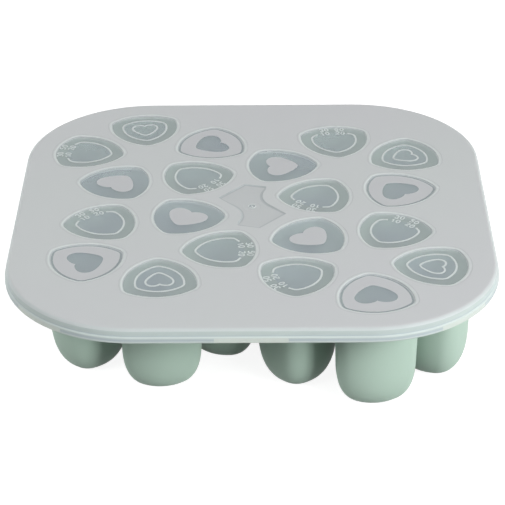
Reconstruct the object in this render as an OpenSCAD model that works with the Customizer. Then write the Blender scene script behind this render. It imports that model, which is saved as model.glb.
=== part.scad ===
// Freezer tray for baby food: a soft silicone tray of rounded three-cornered
// cups hanging from one flat deck, under a stiff press-on lid with a clear
// window over every cup. Millimetres, +Z up, the front towards -Y, and the
// origin on the table under the middle of the tray.

/* [Lid] */
// Width and depth over the lid
lid_w = 236; // [232:1:244]
// Radius of the lid's four plan corners
lid_corner_r = 64; // [60:1:70]
// Height from the feet of the cups to the top of the lid
total_h = 54; // [52:0.5:62]
// Thickness of the lid's plate
lid_t = 1.5; // [1.2:0.1:2]
// Height of the lid's skirt, from the lid's top down
skirt_h = 7.2; // [6.5:0.1:8]
// How far each window lies below the lid's top
window_drop = 0.6; // [0.4:0.1:0.8]
// Thickness of a window
window_t = 1.1; // [0.8:0.1:1.2]
// How far each window's plug reaches down from the lid's plate
plug_h = 1.3; // [0.8:0.1:1.3]

/* [Cups] */
// Distance from a cup's axis to the centre of each corner's arc
petal_reach = 13.2; // [12.5:0.1:13.5]
// Radius of a window's rounded corners
petal_corner_r = 6; // [5:0.5:6.5]
// Radius of a window's bowed sides
petal_side_r = 25; // [24:0.5:30]
// Thickness of a cup's wall
cup_wall = 1.5; // [1.2:0.1:1.6]
// Thickness of a cup's floor
cup_floor = 1.8; // [1.5:0.1:2.5]
// How much a cup narrows on each side for each millimetre down
cup_draft = 0.04; // [0.03:0.01:0.07]
// How much wider the corners' arcs are above a cup's foot than at its mouth
cup_soft = 2.5; // [0:0.5:4]
// Height over which a cup's side rounds into its foot
cup_round_h = 22; // [16:1:24]
// Width over which a cup's side rounds into its foot
cup_round_w = 11; // [9:1:13]

/* [Tray] */
// Thickness of the deck that joins the cups
deck_t = 1.8; // [1.5:0.1:2.2]
// Width of the tray's edge, deck and lip together
edge_w = 6; // [5:0.5:6.5]
// Thickness of the lip that hangs from the tray's edge
lip_t = 2.8; // [2:0.1:3.5]
// Height of that lip
lip_h = 4.6; // [4:0.1:4.8]

/* [Hidden] */

$fn = 96;
lid_color = [0.80, 0.83, 0.83, 0.75];
tray_color = [0.62, 0.74, 0.66];

// Corner arcs of every outline round the tray share these four centres
corner_at = lid_w / 2 - lid_corner_r;

// Heights, from the top down
gap = 0.3;                              // free play between the lid and the tray
skirt_z = total_h - skirt_h;
panel_z = total_h - lid_t;              // underside of the lid's plate
deck_z = panel_z - gap;                 // top of the deck
under_z = deck_z - deck_t;              // underside of the deck
ledge_z = under_z + 0.5;                // top of each cup, a ledge inside the deck
window_z = total_h - window_drop;       // top of each window

// Offsets from the window's outline
plug_out = 1.3;                         // outside of the window's plug
plug_in = -0.2;                         // inside of the window's plug
step_out = 1.7;                         // edge of the deck round a cup
cup_out = 2.1;                          // outside of a cup at its top
cup_in = cup_out - cup_wall;

gate_deep = 0.4;                        // depth of the recess in the middle of the lid

// Distances in from the lid's outline
panel_in = 3;
rim_out = 2;
rim_in = rim_out + edge_w;

// Places of one half of the cups: x, y and the direction of one corner.
// The other half is the same again, turned half round.
half_places = [
  [-57.5, 87, -82], [-21.5, 69, 87], [43.5, 72, -84], [-86.5, 60.5, -9], [14.5, 44, 3],
  [79.5, 54.5, 87], [-69, 26, 177], [-28.5, 31.5, 13], [32.5, 10.5, 181], [74, 16.5, 6]
];
places = concat(half_places, [for (k = [9:-1:0]) let (p = half_places[k]) [-p.x, -p.y, p.z + 180]]);

// The outline of a window is three corner arcs and three bowed sides, all tangent
side_half = petal_side_r - petal_corner_r;
side_drop = petal_reach * sin(60);
side_run = sqrt(side_half * side_half - side_drop * side_drop);
side_reach = petal_reach / 2 - side_run + petal_side_r;   // from the axis to the middle of a side
arc_steps = 4;                          // chords in each arc of a cup
fine_steps = 6;                         // chords in each arc of the lid and the deck
round_steps = 5;                        // chords in the rounding of a cup's foot
squash = 0.5;                           // how far the foot goes from three-cornered to round
fullness = 2.4;                         // power of the foot's rounding; 2 is an ellipse

function cup_name(k) = str(k < 10 ? "cup_0" : "cup_", k);
function polar(r, a) = [r * cos(a), r * sin(a)];
function steps(from, to, n, shift) = [for (k = [0:n - 1]) from + (to - from) * (k + shift) / n];

// Window outline moved out by a distance, as points in order round the axis.
// A shift moves the points along the arcs by a part of one step, and soft adds
// to the corners' radius while the corners and the sides keep their reach.
function petal(out, n, shift = 0, soft = 0) =
  let (at = petal_reach - soft, r = petal_corner_r + out + soft, reach = side_reach + out,
       q = at / 2 - reach,
       side_r = (r * r - q * q - 0.75 * at * at) / (q + r) / 2,
       side_at = reach - side_r,
       angle = atan2(at * sin(60), at / 2 - side_at))
    [for (turn = [0, 120, 240])
      each concat(
        [for (a = steps(angle - 60, 60 - angle, n, shift)) polar(at, turn) + polar(r, turn + a)],
        [for (a = steps(-angle, angle, n, shift))
          polar(side_at, turn + 60) + polar(side_r, turn + 60 + a)])];

// An outline drawn in by a factor, and moved towards a circle as it shrinks
function shrink(outline, k, r) =
  let (w = squash * (1 - k)) [for (p = outline) k * p * (1 - w + w * r / norm(p))];

// One level of a cup, from its outline and its height
function ring(outline, z) = [for (p = outline) [p.x, p.y, z]];

// Levels of a cup's face from the deck down to the middle of its foot
function levels(out, top, foot, round_w, round_h) =
  let (low_out = out - cup_draft * (top - foot - round_h),
       wall = petal(low_out, arc_steps, 0, cup_soft),
       mid = side_reach + low_out)
    concat([ring(petal(out, arc_steps), top), ring(wall, foot + round_h)],
      [for (k = [1:round_steps])
        let (a = 90 * k / round_steps,
             across = 1 - pow(cos(a), 2 / fullness), down = pow(sin(a), 2 / fullness))
          ring(shrink(wall, 1 - round_w * across / mid, mid + 1), foot + round_h * (1 - down))]);

// Moves one level of a cup to the cup's place
function moved(level, place) = [
  for (p = level)
    [place.x + p.x * cos(place.z) - p.y * sin(place.z),
     place.y + p.x * sin(place.z) + p.y * cos(place.z), p.z]
];

// Part of a polygon on the near side of a line through a point, square to a direction
function clip(outline, at, dir) = [
  for (k = [0:len(outline) - 1])
    let (a = outline[k], b = outline[(k + 1) % len(outline)],
         da = (a - at) * dir, db = (b - at) * dir)
      each concat(da <= 0 ? [a] : [], (da < 0) != (db < 0) ? [a + (b - a) * da / (da - db)] : [])
];

// Outline of the deck inside the rim
deck_outline = [
  for (turn = [0, 90, 180, 270], a = [0:3.75:90])
    let (c = corner_at * sqrt(2))
      polar(c, turn + 45) + polar(lid_corner_r - rim_in, turn + a)
];

// Share of the deck that is nearer to cup i than to any other cup
function share(i, outline, j = 0) =
  j == len(places) ? outline :
  let (a = [places[i].x, places[i].y], b = [places[j].x, places[j].y])
    share(i, j == i ? outline : clip(outline, (a + b) / 2, b - a), j + 1);

// Sweeps a profile round the tray. The profile's x is the distance out from the
// lid's outline, so it is negative on the tray, and its y is the height.
module around() {
  for (turn = [0, 90, 180, 270])
    rotate(turn) {
      translate([corner_at, corner_at, 0])
        rotate_extrude(angle = 90) translate([lid_corner_r, 0]) children();
      translate([corner_at + lid_corner_r, corner_at, 0]) rotate([90, 0, 0])
        linear_extrude(2 * corner_at) children();
    }
}

// Flat plate with the lid's outline drawn in by a distance
module plate(inset, z, t) {
  r = lid_corner_r - inset;
  for (turn = [0, 90, 180, 270])
    rotate(turn) translate([corner_at, corner_at, z])
      rotate_extrude(angle = 90) square([r, t]);
  translate([-corner_at, -corner_at - r, z]) cube([2 * corner_at, 2 * (corner_at + r), t]);
  for (side = [-1, 1])
    translate([side * (corner_at + r / 2) - r / 2, -corner_at, z]) cube([r, 2 * corner_at, t]);
}

// Upright prism on a cup's outline moved out by a distance
module petal_prism(place, out, z, t, shift = 0) {
  translate([place.x, place.y, z]) rotate(place.z)
    linear_extrude(t) polygon(petal(out, fine_steps, shift));
}

// Lid: the plate with its sunken windows, each with a plug, a low wall under
// the plate that reaches into the cup's mouth
module lid_panel() {
  plug_z = panel_z - plug_h;
  under = window_z - window_t;
  color(lid_color) {
    difference() {
      union() {
        plate(panel_in, panel_z, lid_t);
        for (p = places) petal_prism(p, plug_out, plug_z, plug_h + 0.5);
      }
      for (p = places) {
        petal_prism(p, 0, window_z, window_drop + 1);
        petal_prism(p, plug_in, plug_z - 1, under - plug_z + 1);
      }
      gate_recess();
    }
    gate_mark();
  }
}

// Shallow recess in the middle of the lid, drawn in where two cups' corners come near
module gate_recess() {
  half_star = [[-17, 8.5], [-4, 23.3], [7.2, 21]];
  near = places[8];                     // the cup whose corner points at the recess
  corner = [near.x, near.y] + polar(petal_reach, near.z);
  clear_r = 14;
  translate([0, 0, total_h - gate_deep])
    linear_extrude(1)
      difference() {
        polygon(concat(half_star, -half_star));
        for (side = [-1, 1]) translate(side * corner) circle(clear_r);
      }
}

// Round mark left in the recess where the plastic entered the mould
module gate_mark() {
  mark_r = 1.8;
  mark_h = 0.2;
  translate([0, 0, total_h - gate_deep]) cylinder(r = mark_r, h = mark_h);
}

// Lid: the rounded shoulder and the skirt, with its thicker lower band
module lid_skirt() {
  shoulder_r = 2;
  band_h = 2.8;
  upper = -0.55;                        // outside of the skirt over the lower band
  inner = -1.6;
  color(lid_color) {
    around() polygon(concat(
      [[-panel_in, panel_z], [inner - 0.4, panel_z], [inner, panel_z - 0.4], [inner + 0.2, skirt_z],
       [-0.3, skirt_z], [0, skirt_z + 0.4], [0, skirt_z + band_h], [upper + 0.15, skirt_z + band_h + 0.3]],
      [for (a = [0:15:90])
        [upper - shoulder_r, total_h - shoulder_r] + polar(shoulder_r, a)],
      [[-panel_in, total_h]]));
    snap_beads();
  }
}

// Low beads inside the skirt: two on each side, from near the middle into the corner
module snap_beads() {
  bead_w = 0.35;
  bead_h = 1;
  bead_z = skirt_z + 0.8;
  from = 17;                            // half of the plain stretch in the middle of a side
  turn_in = 29;                         // how far each bead runs into the corner
  face = lid_corner_r - 1.35;           // the skirt's inner face
  for (turn = [0, 90, 180, 270])
    rotate(turn) {
      for (side = [0, 1])
        mirror([side, 0, 0]) translate([from, corner_at + face - bead_w, bead_z])
          cube([corner_at - from, bead_w, bead_h]);
      translate([corner_at, corner_at, bead_z])
        for (start = [0, 90 - turn_in])
          rotate(start) rotate_extrude(angle = turn_in)
            translate([face - bead_w, 0]) square([bead_w, bead_h]);
    }
}

// Tray: the edge of the deck with its hanging lip, under the lid's skirt
module tray_rim() {
  soft = 0.8;                           // rounding of the rim's top edge
  color(tray_color)
    around() polygon(concat(
      [[-rim_in, under_z], [-rim_out - lip_t, under_z], [-rim_out - lip_t, deck_z - lip_h],
       [-rim_out, deck_z - lip_h]],
      [for (a = [0:30:90]) [-rim_out - soft, deck_z - soft] + polar(soft, a)],
      [[-rim_in, deck_z]]));
}

// Tray: one cup, with its share of the deck round its mouth. The points of the
// deck's edge fall between those of the cup's wall, so no corner meets another.
module cup(i) {
  color(tray_color) {
    difference() {
      translate([0, 0, under_z]) linear_extrude(deck_t) polygon(share(i, deck_outline));
      petal_prism(places[i], step_out, under_z - 1, deck_t + 2, 0.25);
    }
    cup_shell(places[i]);
  }
}

// Tray: the shell of a cup, lofted down its outside and up its inside
module cup_shell(place) {
  outside = levels(cup_out, ledge_z, 0, cup_round_w, cup_round_h);
  inside = levels(cup_in, ledge_z, cup_floor, cup_round_w - cup_wall / 2, cup_round_h - cup_wall / 2);
  rings = concat([for (k = [len(outside) - 1:-1:0]) outside[k]], inside);
  n = 6 * arc_steps;
  last = len(rings) - 1;
  bands = [
    for (k = [0:last - 1], s = [0:n - 1])
      let (a = k * n + s, b = k * n + (s + 1) % n)
        each [[a, a + n, b + n], [a, b + n, b]]
  ];
  foot = [for (s = [1:n - 2]) [0, s, s + 1]];
  floor_top = [for (s = [1:n - 2]) [last * n, last * n + s + 1, last * n + s]];
  polyhedron([for (r = rings) each moved(r, place)], concat(bands, foot, floor_top));
}

lid_panel();
lid_skirt();
tray_rim();
for (k = [1:20])
  cup(k - 1);
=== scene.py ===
# Looks of the closed baby food freezer tray: a frosted press-on lid over a sage silicone tray
import math

import bmesh
import bpy
from mathutils import Matrix, Vector
from mathutils.geometry import interpolate_bezier


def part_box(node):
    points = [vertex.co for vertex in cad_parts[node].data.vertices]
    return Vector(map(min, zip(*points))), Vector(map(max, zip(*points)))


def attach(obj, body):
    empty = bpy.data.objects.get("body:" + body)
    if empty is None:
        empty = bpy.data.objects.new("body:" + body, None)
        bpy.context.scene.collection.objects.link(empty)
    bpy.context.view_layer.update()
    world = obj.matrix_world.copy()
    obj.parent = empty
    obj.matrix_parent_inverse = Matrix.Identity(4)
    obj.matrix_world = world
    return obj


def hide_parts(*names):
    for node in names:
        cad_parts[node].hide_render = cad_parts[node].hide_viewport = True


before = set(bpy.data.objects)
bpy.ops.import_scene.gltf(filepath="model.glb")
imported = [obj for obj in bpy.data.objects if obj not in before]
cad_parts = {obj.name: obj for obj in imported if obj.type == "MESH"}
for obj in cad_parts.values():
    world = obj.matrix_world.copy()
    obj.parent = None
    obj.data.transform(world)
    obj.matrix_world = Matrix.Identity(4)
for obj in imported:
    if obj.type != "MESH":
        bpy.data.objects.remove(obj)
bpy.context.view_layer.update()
mm = 0.001
print("frame loaded")

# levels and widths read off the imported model
lidLow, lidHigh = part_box("lid_skirt")
rimLow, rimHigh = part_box("tray_rim")
lidTop = lidHigh.z
lidHalf = lidHigh.x
deckTop = rimHigh.z

layout = {
    "cornerRadius": 64 * mm,       # plan corners of the lid
    "plate": 1.5 * mm,             # thickness of the lid's plate
    "deck": 1.8 * mm,              # thickness of the tray's deck
    "ledge": 1.3 * mm,             # from the deck's top down to the ledge in each cup
    "cornerSteps": 20,             # chords in each plan corner
    "sideShares": (0.17, 0.343, 0.5, 0.657, 0.83),   # points along each straight side
    # x and y in mm and the direction of one corner in degrees, for one half of the cups; the other
    # half is this one turned half round
    "half": [
        (-57.5, 87, -82), (-21.5, 69, 87), (43.5, 72, -84), (-86.5, 60.5, -9), (14.5, 44, 3),
        (79.5, 54.5, 87), (-69, 26, 177), (-28.5, 31.5, 13), (32.5, 10.5, 181), (74, 16.5, 6),
    ],
}
plateUnder = lidTop - layout["plate"]
deckUnder = deckTop - layout["deck"]
cupTop = deckTop - layout["ledge"]
cornerAt = lidHalf - layout["cornerRadius"]

places = [(x * mm, y * mm, math.radians(turn)) for x, y, turn in layout["half"]]
places += [(-x, -y, turn + math.pi) for x, y, turn in reversed(places)]

petal = {
    "reach": 13.2 * mm,            # from the axis to the centre of a corner's arc
    "cornerRadius": 6 * mm,
    "sideRadius": 25 * mm,
    "steps": 9,                    # points in each of the six arcs
}


def polar(radius, angle):
    return Vector((radius * math.cos(angle), radius * math.sin(angle)))


def sideMiddle():
    # distance from a window's axis to the middle of a side
    drop = petal["reach"] * math.sin(math.radians(60))
    run = math.sqrt((petal["sideRadius"] - petal["cornerRadius"]) ** 2 - drop ** 2)
    return petal["reach"] / 2 - run + petal["sideRadius"]


def petalOutline(out=0.0, scale=1.0, soft=0.0):
    # rounded three-cornered outline of a window, moved out by a distance and scaled; soft adds to
    # the corners' radius while the corners and the sides keep their reach
    reach, corner = petal["reach"] - soft, petal["cornerRadius"] + out + soft
    middle = sideMiddle() + out
    drop, short = reach * math.sin(math.radians(60)), reach / 2 - middle
    side = (corner ** 2 - short ** 2 - drop ** 2) / (short + corner) / 2
    sideAt = middle - side
    sideAngle = math.atan2(drop, reach / 2 - sideAt)
    cornerAngle = math.radians(60) - sideAngle
    arcs = ((0, reach, corner, cornerAngle), (60, sideAt, side, sideAngle))
    n = petal["steps"]
    points = []
    for third in range(3):
        for bearing, centre, radius, half in arcs:
            turn = math.radians(120 * third) + math.radians(bearing)
            start = turn - half
            points += [polar(centre, turn) + polar(radius, start + 2 * half * k / n) for k in range(n)]
    return [p * scale for p in points]


def atPlace(points, place, turn=None):
    # moves plan points from a cup's own axis to the cup's place
    x, y, own = place
    angle = own if turn is None else turn
    c, s = math.cos(angle), math.sin(angle)
    return [Vector((x + c * p.x - s * p.y, y + s * p.x + c * p.y)) for p in points]


def squareOutline(inset):
    # the lid's rounded square, drawn in by a distance
    radius, steps = layout["cornerRadius"] - inset, layout["cornerSteps"]
    quarter, diagonal = math.radians(90), cornerAt * math.sqrt(2)
    points = []
    for k in range(4):
        turn = math.radians(90 * k)
        centre = polar(diagonal, turn + math.radians(45))
        nextCentre = polar(diagonal, turn + math.radians(135))
        points += [centre + polar(radius, turn + quarter * i / steps) for i in range(steps + 1)]
        start, end = points[-1], nextCentre + polar(radius, turn + quarter)
        points += [start.lerp(end, share) for share in layout["sideShares"]]
    return points


def bow(centre, size, start, end, steps):
    # points on part of an ellipse, from one direction in degrees to another
    angles = [math.radians(start + (end - start) * k / steps) for k in range(steps + 1)]
    return [(centre[0] + size[0] * math.cos(a), centre[1] + size[1] * math.sin(a)) for a in angles]


def arc(centre, radius, start, end, steps):
    # the same on a circle, for the roundings of a profile
    return bow(centre, (radius, radius), start, end, steps)


def offsetLine(points, out, closed):
    # a run of points moved to its right by a distance
    n = len(points)
    moved = []
    for k, p in enumerate(points):
        before = points[k - 1] if closed or k else p
        after = points[(k + 1) % n] if closed or k < n - 1 else p
        along = (after - before).normalized()
        moved.append(p + Vector((along.y, -along.x)) * out)
    return moved


def ring(bm, points, z):
    return [bm.verts.new((p.x, p.y, z)) for p in points]


def bridge(bm, a, b, material=0, other=0, segments=()):
    # band of faces between two rings, with another material on some of its segments
    n = len(a)
    for k in range(n):
        face = bm.faces.new((a[k], a[(k + 1) % n], b[(k + 1) % n], b[k]))
        face.smooth = True
        face.material_index = other if k in segments else material


def bridgeAll(bm, rings, materials=()):
    # bands between all the rings in turn, the materials in the same order
    for k, (a, b) in enumerate(zip(rings, rings[1:])):
        bridge(bm, a, b, materials[k] if materials else 0)


def crease(verts):
    # sharp edges round a ring, where a flat face meets a rounded one
    n = len(verts)
    for k in range(n):
        for edge in verts[k].link_edges:
            if edge.other_vert(verts[k]) == verts[(k + 1) % n]:
                edge.smooth = False


def fillPlane(bm, rings, up, material=0):
    # flat face with holes between an outer ring and the rings inside it
    edges = []
    for verts in rings:
        n = len(verts)
        for k in range(n):
            pair = (verts[k], verts[(k + 1) % n])
            edges.append(bm.edges.get(pair) or bm.edges.new(pair))
    normal = (0, 0, 1 if up else -1)
    made = bmesh.ops.triangle_fill(bm, edges=edges, use_beauty=True, normal=normal)
    for item in made["geom"]:
        if isinstance(item, bmesh.types.BMFace):
            item.material_index = material
            if (item.normal.z > 0) != up:
                item.normal_flip()
    for verts in rings:
        crease(verts)


def cap(bm, verts, up, material=0):
    face = bm.faces.new(verts if up else list(reversed(verts)))
    face.material_index = material
    crease(verts)


def finishMesh(name, bm, materials, outward=True):
    if outward:
        bmesh.ops.recalc_face_normals(bm, faces=bm.faces)
    mesh = bpy.data.meshes.new(name)
    bm.to_mesh(mesh)
    bm.free()
    for material in materials:
        mesh.materials.append(material)
    piece = bpy.data.objects.new(name, mesh)
    bpy.context.scene.collection.objects.link(piece)
    return piece


# finishes

def node(tree, kind, x, y, **values):
    made = tree.nodes.new(kind)
    made.location = (x, y)
    for key, value in values.items():
        if hasattr(made, key):
            setattr(made, key, value)
        else:
            made.inputs[key.replace("_", " ")].default_value = value
    return made


def mouldFinishGroup():
    # soft clouding and a fine spark-eroded grain, shared by both mouldings
    group = bpy.data.node_groups.new("mouldFinish", "ShaderNodeTree")
    wanted = {
        "Colour": ("NodeSocketColor", (0.8, 0.8, 0.8, 1)),
        "Cloud Colour": ("NodeSocketColor", (0.7, 0.7, 0.7, 1)),
        "Cloud Scale": ("NodeSocketFloat", 20),
        "Cloud Amount": ("NodeSocketFloat", 0.5),
        "Grain Scale": ("NodeSocketFloat", 1200),
        "Rough Low": ("NodeSocketFloat", 0.4),
        "Rough High": ("NodeSocketFloat", 0.6),
    }
    for name, (kind, value) in wanted.items():
        group.interface.new_socket(name, in_out="INPUT", socket_type=kind).default_value = value
    for name, kind in (("Colour", "Color"), ("Roughness", "Float"), ("Grain", "Float")):
        group.interface.new_socket(name, in_out="OUTPUT", socket_type="NodeSocket" + kind)
    link = group.links.new
    given = node(group, "NodeGroupInput", -900, 0)
    out = node(group, "NodeGroupOutput", 500, 0)
    place = node(group, "ShaderNodeTexCoord", -900, -300)
    cloud = node(group, "ShaderNodeTexNoise", -600, 100, Detail=3.0, Roughness=0.55)
    grain = node(group, "ShaderNodeTexNoise", -600, -300, Detail=2.0, Roughness=0.6)
    amount = node(group, "ShaderNodeMath", -350, 100, operation="MULTIPLY")
    tint = node(group, "ShaderNodeMix", -100, 100, data_type="RGBA")
    rough = node(group, "ShaderNodeMapRange", -100, -150)
    link(place.outputs["Object"], cloud.inputs["Vector"])
    link(place.outputs["Object"], grain.inputs["Vector"])
    link(given.outputs["Cloud Scale"], cloud.inputs["Scale"])
    link(given.outputs["Grain Scale"], grain.inputs["Scale"])
    link(cloud.outputs["Fac"], amount.inputs[0])
    link(given.outputs["Cloud Amount"], amount.inputs[1])
    link(amount.outputs[0], tint.inputs[0])
    link(given.outputs["Colour"], tint.inputs[6])
    link(given.outputs["Cloud Colour"], tint.inputs[7])
    link(grain.outputs["Fac"], rough.inputs["Value"])
    link(given.outputs["Rough Low"], rough.inputs["To Min"])
    link(given.outputs["Rough High"], rough.inputs["To Max"])
    link(tint.outputs[2], out.inputs["Colour"])
    link(rough.outputs["Result"], out.inputs["Roughness"])
    link(grain.outputs["Fac"], out.inputs["Grain"])
    return group


mouldFinish = mouldFinishGroup()


def linear(colour):
    # colour as it shows on screen, 0 to 255, on the renderer's own scale
    shares = [c / 255 for c in colour]
    return [c / 12.92 if c < 0.0404 else ((c + 0.055) / 1.055) ** 2.4 for c in shares]


def mouldedMaterial(name, look):
    # one moulded finish: the shared group feeds colour, roughness and a fine bump
    material = bpy.data.materials.new(name)
    material.use_nodes = True
    tree = material.node_tree
    shader = tree.nodes["Principled BSDF"]
    finish = node(tree, "ShaderNodeGroup", -500, 0)
    finish.node_tree = mouldFinish
    for socket in ("Colour", "Cloud Colour"):
        finish.inputs[socket].default_value = (*linear(look[socket]), 1)
    for socket in ("Cloud Scale", "Cloud Amount", "Grain Scale", "Rough Low", "Rough High"):
        finish.inputs[socket].default_value = look[socket]
    bump = node(tree, "ShaderNodeBump", -250, -250, Strength=look["Bump"], Distance=0.1 * mm)
    tree.links.new(finish.outputs["Colour"], shader.inputs["Base Color"])
    tree.links.new(finish.outputs["Roughness"], shader.inputs["Roughness"])
    tree.links.new(finish.outputs["Grain"], bump.inputs["Height"])
    tree.links.new(bump.outputs["Normal"], shader.inputs["Normal"])
    for socket, value in look["Shader"].items():
        shader.inputs[socket].default_value = value
    if "Alpha" in look:
        # one opacity for what sees it, another for the light that goes through
        rays = node(tree, "ShaderNodeLightPath", -500, -500)
        opaque = node(tree, "ShaderNodeMapRange", -250, -500)
        opaque.inputs["To Min"].default_value, opaque.inputs["To Max"].default_value = look["Alpha"]
        tree.links.new(rays.outputs["Is Shadow Ray"], opaque.inputs["Value"])
        tree.links.new(opaque.outputs["Result"], shader.inputs["Alpha"])
    return material


# colours as on screen, 0 to 255; Alpha is how opaque it looks, and how much light it holds back
siliconeLook = {
    "Colour": (175, 197, 184), "Cloud Colour": (169, 191, 178), "Cloud Scale": 18, "Cloud Amount": 0.6,
    "Grain Scale": 900, "Rough Low": 0.52, "Rough High": 0.68, "Bump": 0.12,
    "Shader": {
        "Specular IOR Level": 0.4, "Subsurface Weight": 0.12,
        "Subsurface Radius": (1.0, 1.2, 1.0), "Subsurface Scale": 3 * mm,
    },
}
frostShader = {
    "Specular IOR Level": 0.5, "Subsurface Weight": 0.15,
    "Subsurface Radius": (1.0, 1.0, 1.0), "Subsurface Scale": 3 * mm,
}
frostLook = {
    "Colour": (195, 202, 200), "Cloud Colour": (196, 196, 200), "Cloud Scale": 7, "Cloud Amount": 1.0,
    "Grain Scale": 1400, "Rough Low": 0.38, "Rough High": 0.52, "Bump": 0.15,
    "Alpha": (1.0, 0.35), "Shader": frostShader,
}
skirtLook = dict(frostLook, **{
    "Colour": (193, 204, 202), "Cloud Colour": (187, 198, 197), "Alpha": (0.85, 0.35),
})
paneLook = {
    "Colour": (174, 187, 186), "Cloud Colour": (166, 174, 188), "Cloud Scale": 24, "Cloud Amount": 1.0,
    "Grain Scale": 500, "Rough Low": 0.10, "Rough High": 0.18, "Bump": 0.02,
    "Alpha": (0.48, 0.12), "Shader": {"Specular IOR Level": 0.6},
}
etchLook = {
    "Colour": (196, 199, 200), "Cloud Colour": (194, 195, 199), "Cloud Scale": 40, "Cloud Amount": 0.8,
    "Grain Scale": 2500, "Rough Low": 0.5, "Rough High": 0.65, "Bump": 0.2,
    "Alpha": (0.92, 0.3), "Shader": {"Specular IOR Level": 0.4},
}


def tinted(look, colour, alpha=None):
    # the same finish in another tint, its clouding 5 levels darker
    made = dict(look, **{"Colour": colour, "Cloud Colour": tuple(c - 5 for c in colour)})
    if alpha:
        made["Alpha"] = alpha
    return made


silicone = mouldedMaterial("sageSilicone", siliconeLook)
# the lid's finishes, in the order of their slots on the lid
lidFinishes = {
    "frost": frostLook,
    "pane": paneLook,
    "skirt": skirtLook,
    "rim": tinted(frostLook, (210, 217, 216), (0.95, 0.35)),      # lighter frost: painted highlight on the windows' edges, the plugs and the gate mark
    "hazy": tinted(paneLook, (168, 179, 178), (0.56, 0.15)),       # window outside its inner outline
    # darker frost: painted shade in the windows' grooves and on the recess's sloped edge
    "grooveShade": tinted(frostLook, (174, 180, 182)),
    # darker pane: painted shade for the seam round a frosted plate and inside the gate mark's ring
    "seamShade": tinted(paneLook, (158, 168, 171), (0.7, 0.2)),
    # darker frost: painted shade in the grooves round the windows and in the dish round the gate mark
    "recess": tinted(frostLook, (190, 194, 195)),
    # a little lighter frost: painted highlight along the lid's rounded top edge
    "shoulder": tinted(frostLook, (196, 203, 203)),
    # lighter skirt: painted highlight lines along the skirt's band
    "ridgeHighlight": tinted(skirtLook, (204, 214, 212)),
    "bead": tinted(skirtLook, (184, 196, 200)),                   # darker and bluer: painted shade where the snap beads lie behind the skirt, and on the beads
    "plain": tinted(skirtLook, (208, 216, 210)),                  # lighter: painted light where no snap bead lies behind the skirt
    "plug": tinted(frostLook, (188, 204, 197), (0.8, 0.3)),
}
lidMaterials = [mouldedMaterial(name + "Lid", look) for name, look in lidFinishes.items()]
slotOf = {name: k for k, name in enumerate(lidFinishes)}
etched = mouldedMaterial("etchedFrost", etchLook)
etchedLine = mouldedMaterial("etchedLine", tinted(etchLook, (209, 215, 215)))
print("finishes made")

# silicone tray: deck, rim and twenty cups in one skin

trayShape = {
    "stepOut": 1.7 * mm,           # edge of the deck round a cup's mouth
    "innerOut": 0.6 * mm,          # inside of a cup at its ledge
    "innerDraft": 0.04,
    "outerOut": 1.95 * mm,         # outside of a cup where it comes out under the skirt
    "outerAt": 7.2 * mm,           # that level, down from the lid's top
    "outerDraft": 0.032,
    "wall": 1.5 * mm,
    "floor": 1.8 * mm,
    "cornerSoft": (0.7 * mm, 3 * mm),   # how much the corners' arcs widen, at the top and above the foot
    "sideSteps": 5,
    "roundHeight": 22 * mm,        # rounding from a cup's side into its foot
    "roundWidth": 10.6 * mm,
    "roundPower": 2.4,             # 2 is an ellipse, more is fuller
    "roundSteps": 12,
    "squash": 0.55,                # how far the foot goes from three-cornered to round
    "squashOut": 1 * mm,           # how far that round form passes the middle of a side
    "near": 60 * mm,               # cups within this distance may touch
    "apart": 0.04 * mm,            # least gap between neighbouring cups
    "soft": 0.35 * mm,             # radius of the small rounded edges
    "stepTurns": (0, 0.4, 0.8, 1.2, math.pi / 2),      # points on the edge of the step, in radians
    "ledgeTurns": (0, 0.5, 1.0, math.pi / 2),          # and on the edge of the ledge
    "ledgeInside": 0.2 * mm,       # bevel between the step and the ledge
    "rimInset": 2 * mm,            # the lip's outside, in from the lid's edge
    "lip": 2.8 * mm,               # its thickness
    "rimRound": 0.8 * mm,          # outer edge of the deck
    "lipRound": 1 * mm,            # between the lip and the deck's underside
    "deckFrom": 2 * mm,            # the flat deck starts this far in from the lip's faces
}


def cupLevels(out, draft, top, foot, inward=0.0):
    # outlines and heights of a cup's face, from its top down to its foot; inward makes the foot's
    # rounding smaller, for the inside
    t = trayShape
    roundWidth, roundHeight = t["roundWidth"] - inward, t["roundHeight"] - inward
    lowOut = out - draft * (top - foot - roundHeight)
    topSoft, lowSoft = t["cornerSoft"]
    levels = []
    for k in range(t["sideSteps"]):
        f = k / t["sideSteps"]
        outline = petalOutline(out + (lowOut - out) * f, soft=topSoft + (lowSoft - topSoft) * f)
        levels.append((outline, top + (foot + roundHeight - top) * f))
    wall = petalOutline(lowOut, soft=lowSoft)
    middle = sideMiddle() + lowOut
    power = 2 / t["roundPower"]
    for k in range(t["roundSteps"] + 1):
        a = math.radians(90) * k / t["roundSteps"]
        across, down = 1 - math.cos(a) ** power, math.sin(a) ** power
        scale = 1 - roundWidth * across / middle
        share = t["squash"] * (1 - scale)
        outline = [p * scale * (1 - share + share * (middle + t["squashOut"]) / p.length) for p in wall]
        levels.append((outline, foot + roundHeight * (1 - down)))
    return levels


def keptApart(points, place):
    # plan points of a cup, drawn in to the lines midway to its neighbours
    t = trayShape
    centre = Vector(place[:2])
    ways = [Vector(other[:2]) - centre for other in places if other is not place]
    ways = [way for way in ways if way.length < t["near"]]
    limits = [(way.normalized(), way.length / 2 - t["apart"] / 2) for way in ways]
    kept = []
    for p in points:
        arm = p - centre
        for way, limit in limits:
            if arm.dot(way) > limit:
                arm *= limit / arm.dot(way)
        kept.append(centre + arm)
    return kept


def softEdge(out, z, turns):
    # rounded edge of an opening: the flat face at this height, the opening's side at this offset
    soft = trayShape["soft"]
    return [(out + soft - soft * math.sin(a), z - soft + soft * math.cos(a)) for a in turns]


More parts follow.
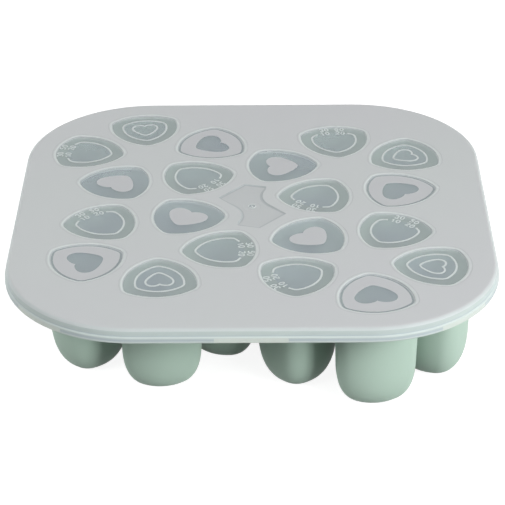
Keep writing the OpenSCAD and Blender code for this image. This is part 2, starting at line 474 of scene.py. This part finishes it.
def mouthLevels():
    # inside of a cup: over the deck's edge, down the step, across the ledge and down to the floor
    t = trayShape
    edge = softEdge(t["stepOut"], deckTop, t["stepTurns"])
    edge += [(t["stepOut"], cupTop + t["ledgeInside"]), (t["stepOut"] - t["ledgeInside"], cupTop)]
    edge += softEdge(t["innerOut"], cupTop, t["ledgeTurns"])
    inner = cupLevels(t["innerOut"], t["innerDraft"], cupTop - t["soft"], t["floor"], t["wall"] / 2)
    return [(petalOutline(out), z) for out, z in edge] + inner[1:]


def rimProfile():
    # the tray's rim: over its rounded edge, down the lip and back up to the deck's underside
    t = trayShape
    outside, inside, low = t["rimInset"], t["rimInset"] + t["lip"], rimLow.z
    soft, rimRound, lipRound = t["soft"], t["rimRound"], t["lipRound"]
    profile = [(outside + t["deckFrom"], deckTop)]
    profile += arc((outside + rimRound, deckTop - rimRound), rimRound, 90, 180, 5)
    profile += arc((outside + soft, low + soft), soft, 180, 270, 4)
    profile += arc((inside - soft, low + soft), soft, 270, 360, 4)
    profile += arc((inside + lipRound, deckUnder - lipRound), lipRound, 180, 90, 4)
    return profile + [(inside + t["deckFrom"], deckUnder)]


def makeTray():
    t = trayShape
    bm = bmesh.new()
    mouths, collars = [], []
    inner = mouthLevels()
    # outside of a cup, from under the deck down to the foot
    out = t["outerOut"] + t["outerDraft"] * (deckUnder - (lidTop - t["outerAt"]))
    outer = cupLevels(out, t["outerDraft"], deckUnder, 0)
    for place in places:
        rings = [ring(bm, atPlace(outline, place), z) for outline, z in inner]
        bridgeAll(bm, rings)
        cap(bm, rings[-1], True)
        mouths.append(rings[0])
        rings = [ring(bm, keptApart(atPlace(outline, place), place), z) for outline, z in outer]
        bridgeAll(bm, rings)
        cap(bm, rings[-1], False)
        collars.append(rings[0])
    rings = [ring(bm, squareOutline(inset), z) for inset, z in rimProfile()]
    bridgeAll(bm, rings)
    fillPlane(bm, [rings[0]] + mouths, True)
    fillPlane(bm, [rings[-1]] + collars, False)
    tray = finishMesh("silicone_tray", bm, [silicone])
    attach(tray, "tray")
    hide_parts("tray_rim", *[f"cup_{k:02d}" for k in range(1, 21)])


makeTray()
print("silicone tray made")

# lid: frosted plate with sunken clear windows, shoulder and skirt

lidShape = {
    "shoulder": 2 * mm,            # rounding of the lid's top edge
    "bandHeight": 2.8 * mm,        # thicker lower band of the skirt
    "upperIn": 0.55 * mm,          # how far the upper skirt stands in from the band
    "plateIn": 3.2 * mm,           # the flat plate starts this far in from the band
    "inner": 1.6 * mm,             # inset of the skirt's inside face at the top
    # the finish that each table gives with a point is that of the face which starts there
    # the middle chords of the shoulder take the lighter shoulder finish, a painted highlight
    "shoulderFinish": ["frost"] * 2 + ["shoulder"] * 4 + ["skirt"] * 3,
    # band: mm in from its face and mm up from its top
    # the ridge faces are painted highlight lines, the bead faces a painted dark band
    "bandEdge": [
        (0.55, 1.1, "bead"), (0.49, 0.55, "ridgeHighlight"), (0.3, 0.3, "ridgeHighlight"), (0.05, 0.08, "ridgeHighlight"),
        (0, -0.25, "skirt"), (0, -0.7, "bead"), (0, -1.7, "ridgeHighlight"), (0, -2.2, "skirt"),
    ],
    "lowOuter": 0.4 * mm,          # roundings of the skirt's lower edge, outside and inside
    "lowInner": 0.3 * mm,
    "lowWidth": 1.4 * mm,          # thickness of the skirt there
    # inside corner: mm in from the skirt's inside and mm up from the plate's underside
    "underEdge": [(0, -0.4, "skirt"), (0.12, -0.12, "frost"), (0.4, 0, "frost")],
    # groove, edge and side of each window: mm out from its outline and mm up from the lid's top
    # the recess and groove faces are darker finishes of painted shade, the rim face a lighter one of
    # painted highlight
    "windowEdge": [
        (2.1, 0, "recess"), (1.95, -0.08, "recess"), (1.7, -0.1, "recess"), (1.45, -0.05, "frost"),
        (1.25, 0, "frost"), (0.95, 0, "rim"), (0.22, -0.05, "frost"), (0.06, -0.2, "grooveShade"),
        (-0.02, -0.4, "grooveShade"), (-0.14, -0.54, "grooveShade"), (-0.3, -0.6, "hazy"),
    ],
    # dark seam of painted shade round a frosted plate: mm out from the window's outline
    "seamShade": [(-0.5, "seamShade"), (-1.6, "pane")],
    # plug under each window: mm out from the outline and mm up from the plate's underside
    # the plug's edge takes the lighter rim finish, a painted highlight
    "plugEdge": [
        (1.3, 0, "rim"), (1.3, -1.0, "rim"), (1.2, -1.22, "rim"), (1.0, -1.3, "rim"), (0.3, -1.3, "rim"),
        (0.02, -1.22, "rim"), (-0.1, -0.95, "plug"), (-0.14, -0.3, "plug"), (-0.3, -0.2, "pane"),
    ],
}


def skirtProfile():
    # inset, height and finish: over the shoulder, down the outside and up the inside
    s = lidShape
    low = lidLow.z
    band = low + s["bandHeight"]
    outer, inner, lowInside = s["lowOuter"], s["lowInner"], s["lowWidth"] - s["lowInner"]
    radius, chords = s["shoulder"], len(s["shoulderFinish"]) - 1
    shoulder = arc((s["upperIn"] + radius, lidTop - radius), radius, 90, 180, chords)
    lowEdge = arc((outer, low + outer), outer, 180, 270, 4)
    lowEdge += arc((lowInside, low + inner), inner, 270, 360, 3)
    profile = [(s["plateIn"], lidTop, "frost")]
    profile += [(*point, finish) for point, finish in zip(shoulder, s["shoulderFinish"])]
    profile += [(inset * mm, band + rise * mm, finish) for inset, rise, finish in s["bandEdge"]]
    profile += [(*point, "skirt") for point in lowEdge]
    profile += [(s["inner"] + inset * mm, plateUnder + rise * mm, finish)
                for inset, rise, finish in s["underEdge"]]
    return profile + [(s["plateIn"], plateUnder, "frost")]


# snap beads inside the skirt, two on each side, each run into its corner
beads = {
    "from": 17 * mm,               # where one starts, from the middle of a side
    "turnIn": 29,                  # how far it runs into the corner, in degrees
    "sideSteps": 4,
    "cornerSteps": 6,
    "inset": 1.45 * mm,            # from the band's face to the bead's root
    "up": 0.8 * mm,                # its underside, up from the skirt's lower edge
    "height": 1 * mm,
    # across it: share of its height, and mm outward from its root
    "section": [(0, 0.3), (0, 0), (0.25, -0.25), (0.5, -0.35), (0.75, -0.25), (1, 0), (1, 0.3)],
}


def makeBeads(bm):
    b = beads
    radius = layout["cornerRadius"] - b["inset"]
    step = (cornerAt - b["from"]) / b["sideSteps"]
    turns = [math.radians(90 - b["turnIn"] * i / b["cornerSteps"]) for i in range(b["cornerSteps"] + 1)]
    # places along one bead, each with the direction out of the lid
    straight, centre = Vector((0, 1)), Vector((cornerAt, cornerAt))
    path = [(Vector((b["from"] + step * i, cornerAt + radius)), straight) for i in range(b["sideSteps"])]
    path += [(centre + polar(radius, a), polar(1, a)) for a in turns]
    for side in range(4):
        aroundLid = Matrix.Rotation(math.radians(90 * side), 2)
        for mirror in (-1, 1):
            rows = []
            for spot, out in path:
                row = []
                for rise, deep in b["section"]:
                    p = spot + out * deep * mm
                    q = aroundLid @ Vector((p.x * mirror, p.y))
                    row.append(bm.verts.new((q.x, q.y, lidLow.z + b["up"] + rise * b["height"])))
                rows.append(row)
            # the beads take the darker finish that paints their shade on the skirt's band
            bridgeAll(bm, rows, [slotOf["bead"]] * len(rows))
            for row in (rows[0], rows[-1]):
                bm.faces.new(row).material_index = slotOf["bead"]


def plainSegments():
    # chords of the skirt's outline that have no snap bead behind them; they get painted light
    steps = layout["cornerSteps"]
    perSide = steps + len(layout["sideShares"]) + 1
    turn = beads["turnIn"] / 90 * steps
    corner = range(math.ceil(turn), math.floor(steps - turn))
    half = steps + len(layout["sideShares"]) // 2
    middle = range(half, half + 2)
    return {side * perSide + k for side in range(4) for k in (*corner, *middle)}


# recess in the middle of the lid, with a shallow dish round the gate mark
recess = {
    "deep": 0.4 * mm,
    "slope": 0.7 * mm,             # width of its sloped edge
    "line": 0.8 * mm,              # and of the darker line inside that
    "corners": [(-17, 8.5), (-4, 23.3), (7.2, 20.3)],    # half of its corners, in mm
    "cup": 9,                      # it bends round a corner of this cup, and of the one across from it
    "clear": 14 * mm,              # at this distance
    "bend": (152, 221),            # between these directions, in degrees
    "bendSteps": 10,
    "dish": (4.6 * mm, 3.9 * mm, 0.12 * mm),             # radii of its edge and floor, and depth
    "dishSteps": 36,
}


def recessOutline(inset):
    r = recess
    x, y, turn = places[r["cup"] - 1]
    near = Vector((x, y)) + polar(petal["reach"], turn)
    start, end = (math.radians(angle) for angle in r["bend"])
    turns = [start + (end - start) * k / r["bendSteps"] for k in range(r["bendSteps"] + 1)]
    half = [Vector(p) * mm for p in r["corners"]] + [near + polar(r["clear"], a) for a in turns]
    points = half + [-p for p in half]
    points.reverse()               # anticlockwise
    return offsetLine(points, -inset, True)


def circle(bm, radius, z, steps):
    return ring(bm, [polar(radius, math.radians(k * 360 / steps)) for k in range(steps)], z)


def makeRecess(bm):
    # gives back its outer ring, which is a hole in the lid's top
    r = recess
    low = lidTop - r["deep"]
    levels = ((0, lidTop), (r["slope"], low), (r["slope"] + r["line"], low))
    rings = [ring(bm, recessOutline(inset), z) for inset, z in levels]
    # the sloped edge and the line inside it take the darker groove finish, painted shade
    bridgeAll(bm, rings, [slotOf["grooveShade"]] * 2)
    crease(rings[1])
    edge, floor, deep = r["dish"]
    circles = [circle(bm, edge, low, r["dishSteps"]), circle(bm, floor, low - deep, r["dishSteps"])]
    # the dish takes the darker recess finish, painted shade
    fillPlane(bm, [rings[2], circles[0]], True, slotOf["recess"])
    bridge(bm, *circles, slotOf["recess"])
    cap(bm, circles[1], True, slotOf["recess"])
    return rings[0]


# kind of pattern on each window, and the direction of the heart's tip or of the numbers in degrees
patterns = {
    1: ("rings", -82.5), 2: ("clear heart", 207.5), 3: ("numbers", 95.7), 4: ("numbers", 171),
    5: ("frosted heart", 3.4), 6: ("rings", 206.8), 7: ("frosted heart", 56.8), 8: ("numbers", -47),
    9: ("numbers", 241.5), 10: ("clear heart", 126), 11: ("numbers", 126), 12: ("frosted heart", 241.5),
    13: ("frosted heart", 312.9), 14: ("numbers", 56.8), 15: ("clear heart", 26.8), 16: ("numbers", 3.4),
    17: ("rings", 171), 18: ("rings", 95.7), 19: ("numbers", 207.5), 20: ("clear heart", 97.5),
}
innerScale = 0.66                  # the inner outline on some windows, against the window's own
windowZ = lidTop + lidShape["windowEdge"][-1][1] * mm


def edgeRings(bm, edge, place, level):
    # rings of a window's or a plug's edge, and the materials between them, from its table
    rings = [ring(bm, atPlace(petalOutline(out * mm), place), level + rise * mm) for out, rise, _ in edge]
    return rings, [slotOf[finish] for _, _, finish in edge]


def makeWindow(bm, place, kind):
    # gives back its outer ring and its plug's, which are holes in the plate's two faces
    rings, materials = edgeRings(bm, lidShape["windowEdge"], place, lidTop)
    if kind in ("rings", "numbers"):
        rings.append(ring(bm, atPlace(petalOutline(scale=innerScale), place), windowZ))
    elif kind == "clear heart":
        # a groove and a seam round the frosted plate, both in darker finishes of painted shade
        materials[-1] = slotOf["grooveShade"]
        for out, finish in lidShape["seamShade"]:
            rings.append(ring(bm, atPlace(petalOutline(out * mm), place), windowZ))
            materials.append(slotOf[finish])
    bridgeAll(bm, rings, materials)
    cap(bm, rings[-1], True, slotOf["pane"])
    plugRings, materials = edgeRings(bm, lidShape["plugEdge"], place, plateUnder)
    bridgeAll(bm, plugRings, materials)
    cap(bm, plugRings[-1], False, slotOf["pane"])
    return rings[0], plugRings[0]


def makeLid():
    bm = bmesh.new()
    profile = skirtProfile()
    rings = [ring(bm, squareOutline(inset), z) for inset, z, _ in profile]
    # the band is painted lighter where no snap bead is behind it, and darker where one is
    bare = plainSegments()
    for a, b, (_, z, finish) in zip(rings, rings[1:], profile):
        onBand = z < lidLow.z + lidShape["bandHeight"] and finish in ("skirt", "bead", "ridgeHighlight")
        bridge(bm, a, b, slotOf[finish], slotOf["plain"], bare if onBand else ())
    holes = [makeWindow(bm, place, patterns[number][0]) for number, place in enumerate(places, 1)]
    makeBeads(bm)
    gate = makeRecess(bm)
    fillPlane(bm, [rings[0]] + [top for top, _ in holes] + [gate], True)
    fillPlane(bm, [rings[-1]] + [low for _, low in holes], False)
    shell = finishMesh("lid_shell", bm, lidMaterials)
    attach(shell, "lid")
    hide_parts("lid_panel", "lid_skirt")


makeLid()
print("lid made")

# patterns on the windows: hearts, inner outlines and rows of plain numbers

etching = {
    "lift": 0.01 * mm,             # underside of a pattern, up from its window
    "thick": 0.12 * mm,            # and its top
    "line": 0.95 * mm,             # width of an etched line
    "lineGap": 7.2 * mm,           # half of the gap in an inner outline for the numbers
    "frostInset": 1.55 * mm,       # clear border round a frosted plate
    "heart": (20.4 * mm, 16 * mm, 1 * mm),               # width, length and place along its axis
    "heartLine": (13.2 * mm, 12 * mm, 0.5 * mm),
    "heartSteps": 10,              # points on each of a half heart's three curves
    "digits": 3.2 * mm,            # one unit of a number's strokes
    "pitch": 2.75 * mm,            # from one number to the next
    "stroke": 0.58 * mm,
    "rows": [("10 20", 9.9 * mm), ("30 50", 14.2 * mm)],   # plain numbers and their distance out
}
etchLow, etchHigh = windowZ + etching["lift"], windowZ + etching["thick"]


def heartOutline(width, length, shift):
    # plump heart on the axis, its tip towards +x
    w, h = width / 2, length / 2
    half = [  # point, handle after it, handle before the next point
        ((h, 0), (h, 0.30 * w), (0.10 * h, w)),
        ((-0.36 * h, w), (-0.78 * h, w), (-h, 0.78 * w)),
        ((-h, 0.50 * w), (-h, 0.26 * w), (-0.88 * h, 0.06 * w)),
        ((-0.77 * h, 0), None, None),
    ]
    upper = []
    for (start, after, before), (end, _, _) in zip(half, half[1:]):
        ends = [Vector((*p, 0)) for p in (start, after, before, end)]
        upper += interpolate_bezier(*ends, etching["heartSteps"] + 1)[:-1]
    upper = [Vector((p.x + shift, p.y)) for p in upper]
    notch = Vector((half[-1][0][0] + shift, 0))
    lower = [Vector((p.x, -p.y)) for p in reversed(upper[1:])]
    return upper + [notch] + lower


def slab(bm, outline, holes=()):
    # thin flat plate on a window, with holes
    loops = [outline, *holes]
    lows = [ring(bm, loop, etchLow) for loop in loops]
    highs = [ring(bm, loop, etchHigh) for loop in loops]
    for a, b in zip(lows, highs):
        bridge(bm, a, b)
    fillPlane(bm, highs, True)
    fillPlane(bm, lows, False)


def etchLine(bm, points, width, closed=True):
    # raised line along a run of points, square in section
    left, right = (offsetLine(points, side * width / 2, closed) for side in (1, -1))
    corners = ((left, etchLow), (left, etchHigh), (right, etchHigh), (right, etchLow))
    rows = [ring(bm, side, z) for side, z in corners]
    n = len(points)
    for k in range(n if closed else n - 1):
        for a, b in zip(rows, rows[1:] + rows[:1]):
            bm.faces.new((a[k], a[(k + 1) % n], b[(k + 1) % n], b[k]))
    if not closed:
        for k in (0, n - 1):
            bm.faces.new([row[k] for row in rows])


# numbers as single strokes about their middle, nearly one unit high
numberStrokes = {
    "0": bow((0, 0), (0.27, 0.45), 90, 440, 14),
    "1": [(-0.16, 0.27), (0.06, 0.45), (0.06, 0), (0.06, -0.45)],
    "2": bow((0, 0.2), (0.25, 0.25), 165, -35, 8) + [(-0.25, -0.45), (0.28, -0.45)],
    "3": bow((-0.02, 0.22), (0.24, 0.23), 150, -75, 7) + bow((-0.02, -0.22), (0.27, 0.24), 75, -155, 8),
    "5": [(0.24, 0.45), (-0.17, 0.45), (-0.2, 0.05)] + bow((-0.01, -0.16), (0.26, 0.29), 115, -145, 9),
}


def numberRow(bm, text, place, turn, radius):
    # one row of numbers, its tops outward, following a window's side
    height, bend = etching["digits"], petal["sideRadius"]
    centre = Vector(place[:2]) + polar(radius - bend, turn)
    for k, letter in enumerate(text):
        if letter != " ":
            angle = turn - (k - (len(text) - 1) / 2) * etching["pitch"] / bend
            spot = (*(centre + polar(bend, angle)), angle - math.pi / 2)
            stroke = [Vector(p) * height for p in numberStrokes[letter]]
            etchLine(bm, atPlace(stroke, spot), etching["stroke"], False)


def makeEtching():
    e = etching
    names = ("frosted_hearts", "frosted_plates", "etched_lines", "scale_numbers")
    sheets = {name: bmesh.new() for name in names}
    inner = petalOutline(scale=innerScale)
    for number, place in enumerate(places, 1):
        kind, turn = patterns[number]
        turn = math.radians(turn)
        if kind == "frosted heart":
            slab(sheets["frosted_hearts"], atPlace(heartOutline(*e["heart"]), place, turn))
        elif kind == "clear heart":
            heart = atPlace(heartOutline(*e["heart"]), place, turn)
            slab(sheets["frosted_plates"], atPlace(petalOutline(-e["frostInset"]), place), [heart])
        elif kind == "rings":
            for line in (atPlace(inner, place), atPlace(heartOutline(*e["heartLine"]), place, turn)):
                etchLine(sheets["etched_lines"], line, e["line"])
        else:
            # the inner outline stops where the numbers are
            line = atPlace(inner, place)
            centre = Vector(place[:2])
            towards, side = polar(1, turn), polar(1, turn + math.pi / 2)

            def hidden(p):
                return (p - centre).dot(towards) > 0 and abs((p - centre).dot(side)) < e["lineGap"]
            start = next(k for k in range(len(line)) if hidden(line[k - 1]) and not hidden(line[k]))
            run = line[start:] + line[:start]
            etchLine(sheets["etched_lines"], [p for p in run if not hidden(p)], e["line"], False)
            for text, radius in e["rows"]:
                numberRow(sheets["scale_numbers"], text, place, turn, radius)
    for name, bm in sheets.items():
        piece = finishMesh(name, bm, [etched if "frosted" in name else etchedLine])
        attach(piece, "lid")


makeEtching()
print("etched patterns made")

# gate mark in the middle of the lid: a ring with a low tip inside it, the ring's top and the tip painted
# light and its inner slope painted shade
gateMark = {
    # the lighter finish paints the highlight, the darker one the shade
    "finishes": ["rim", "seamShade"],
    # radius in mm, mm up from the dish, and the finish of the face which starts there
    "profile": [
        (2.05, 0, "rim"), (1.95, 0.24, "rim"), (1.75, 0.3, "rim"), (1.55, 0.24, "seamShade"),
        (1.4, 0.03, "seamShade"), (0.6975, 0.03, "rim"), (0.3875, 0.18, "rim"),
    ],
    "steps": 30,
}


def makeGateMark():
    g = gateMark
    base = lidTop - recess["deep"] - recess["dish"][2]
    bm = bmesh.new()
    rings = [circle(bm, radius * mm, base + rise * mm, g["steps"]) for radius, rise, _ in g["profile"]]
    bridgeAll(bm, rings, [g["finishes"].index(finish) for _, _, finish in g["profile"]])
    cap(bm, rings[-1], True)
    cap(bm, rings[0], False)
    mark = finishMesh("gate_mark", bm, [lidMaterials[slotOf[finish]] for finish in g["finishes"]])
    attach(mark, "lid")


makeGateMark()
print("gate mark made")

# stage, light and camera
studio = {
    "worldStrength": 0.05,         # light on the object from all round
    "floor": 3.0,                  # half of the floor's side
    "floorColour": (0.32, 0.32, 0.32, 1),
    "floorGlow": 0.9,              # brings the floor near white where it is seen
    "lamps": [  # name, place, aim, size, and power in watts
        ("key", (0.75, -0.6, 0.35), (0, 0, 0.02), 0.5, 9.8),
        ("fill", (-0.9, -0.7, 0.8), (0, 0, 0.02), 0.5, 9),
        ("top", (0.0, 0.4, 1.6), (0, 0, 0.0), 1.4, 5.2),
        ("backLeft", (-0.7, 0.9, 0.35), (0, 0, 0.02), 0.6, 5),
        ("backRight", (0.8, 0.9, 0.3), (0, 0, 0.02), 0.6, 4.5),
    ],
}
view = {
    "distance": 1.0535,            # camera to the middle of the lid's top
    "rise": 28.37,                 # elevation of the line from the lid to the camera, degrees
    "heading": 0.435,              # degrees to the right of the front
    "roll": -0.513,                # degrees round the line of sight
    "aimBelow": 1.277,             # degrees from the middle of the lid down to the view's centre
    "lens": 150.19,                # mm, on a sensor of 36 mm
}


def cameraRays(tree, x, y):
    # 1 where the background is seen straight, in a gloss or through something clear
    rays = node(tree, "ShaderNodeLightPath", x, y)
    first = node(tree, "ShaderNodeMath", x + 200, y, operation="MAXIMUM")
    second = node(tree, "ShaderNodeMath", x + 400, y, operation="MAXIMUM")
    tree.links.new(rays.outputs["Is Camera Ray"], first.inputs[0])
    tree.links.new(rays.outputs["Is Glossy Ray"], first.inputs[1])
    tree.links.new(first.outputs[0], second.inputs[0])
    tree.links.new(rays.outputs["Is Transmission Ray"], second.inputs[1])
    return second.outputs[0]


def makeStage():
    world = bpy.data.worlds.new("studio")
    bpy.context.scene.world = world
    world.use_nodes = True
    tree = world.node_tree
    background = tree.nodes["Background"]
    background.inputs["Color"].default_value = (1, 1, 1, 1)
    strength = node(tree, "ShaderNodeMapRange", -200, 0)
    strength.inputs["To Min"].default_value = studio["worldStrength"]
    strength.inputs["To Max"].default_value = 1.0
    tree.links.new(cameraRays(tree, -900, 0), strength.inputs["Value"])
    tree.links.new(strength.outputs["Result"], background.inputs["Strength"])
    # pale floor that stays near white and keeps a soft shadow
    size = studio["floor"]
    corners = [Vector((x * size, y * size)) for x, y in ((-1, -1), (1, -1), (1, 1), (-1, 1))]
    bm = bmesh.new()
    cap(bm, ring(bm, corners, 0), True)
    material = bpy.data.materials.new("paleFloor")
    material.use_nodes = True
    tree = material.node_tree
    shader = tree.nodes["Principled BSDF"]
    shader.inputs["Base Color"].default_value = studio["floorColour"]
    shader.inputs["Roughness"].default_value = 0.9
    shader.inputs["Specular IOR Level"].default_value = 0.1
    shader.inputs["Emission Color"].default_value = (1, 1, 1, 1)
    glow = node(tree, "ShaderNodeMath", -200, -300, operation="MULTIPLY")
    glow.inputs[1].default_value = studio["floorGlow"]
    tree.links.new(cameraRays(tree, -900, -300), glow.inputs[0])
    tree.links.new(glow.outputs[0], shader.inputs["Emission Strength"])
    floor = finishMesh("floor", bm, [material], outward=False)
    for name, place, aim, size, power in studio["lamps"]:
        lamp = bpy.data.lights.new(name, "AREA")
        lamp.energy = power
        lamp.size = size
        stand = bpy.data.objects.new(name, lamp)
        stand.location = place
        stand.visible_camera = False
        # the low lamps would glare in the flat lid, seen from across
        stand.visible_glossy = name == "top"
        stand.rotation_euler = (Vector(aim) - Vector(place)).to_track_quat("-Z", "Y").to_euler()
        bpy.context.scene.collection.objects.link(stand)


def makeCamera():
    v = view
    heading = Matrix.Rotation(math.radians(v["heading"]), 4, "Z")
    rise = math.radians(v["rise"])
    spot = heading @ Vector((0, -v["distance"] * math.cos(rise), v["distance"] * math.sin(rise)))
    spot.z += lidTop
    tilt = Matrix.Rotation(math.radians(90 - v["rise"] - v["aimBelow"]), 4, "X")
    roll = Matrix.Rotation(math.radians(v["roll"]), 4, "Z")
    data = bpy.data.cameras.new("camera")
    data.sensor_width = 36
    data.lens = v["lens"]
    data.clip_end = 20
    camera = bpy.data.objects.new("camera", data)
    camera.matrix_world = Matrix.Translation(spot) @ heading @ tilt @ roll
    bpy.context.scene.collection.objects.link(camera)
    bpy.context.scene.camera = camera


makeStage()
makeCamera()
bpy.context.scene.view_settings.view_transform = "Standard"
print("stage, light and camera made")
